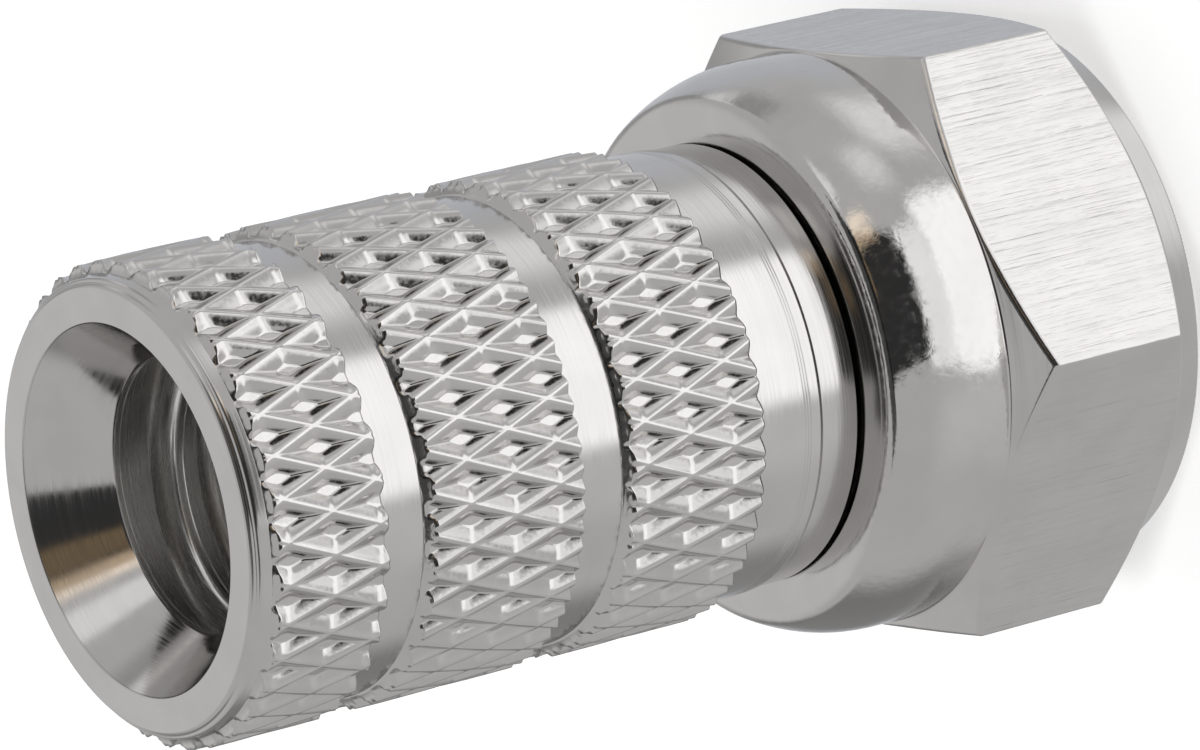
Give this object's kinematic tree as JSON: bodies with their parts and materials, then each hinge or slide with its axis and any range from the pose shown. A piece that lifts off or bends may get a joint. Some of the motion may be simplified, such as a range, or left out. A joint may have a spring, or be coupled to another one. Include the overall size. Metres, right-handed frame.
{
  "type": "f connector",
  "caption": "Twist-on coaxial cable connector: a diamond-knurled barrel that screws onto the cable's jacket, with a free-spinning hexagon coupling nut.",
  "frame": {"origin": "middle of the coupling nut's front face", "axes": "+Z along the connector's axis, towards the cable end"},
  "size_m": [0.0128, 0.011, 0.0203],
  "materials": {
    "barrel": "nickel-plated brass, turned and knurled",
    "coupling_nut": "nickel-plated brass, drawn flats and polished skirt"
  },
  "bodies": {
    "barrel": {"barrel": "barrel"},
    "nut": {"coupling_nut": "coupling_nut"}
  },
  "joints": [
    {"name": "nut_spin", "type": "hinge", "parent": "barrel", "child": "nut", "pos_m": [0, 0, 0.006], "axis": [0, 0, 1], "continuous": true}
  ]
}
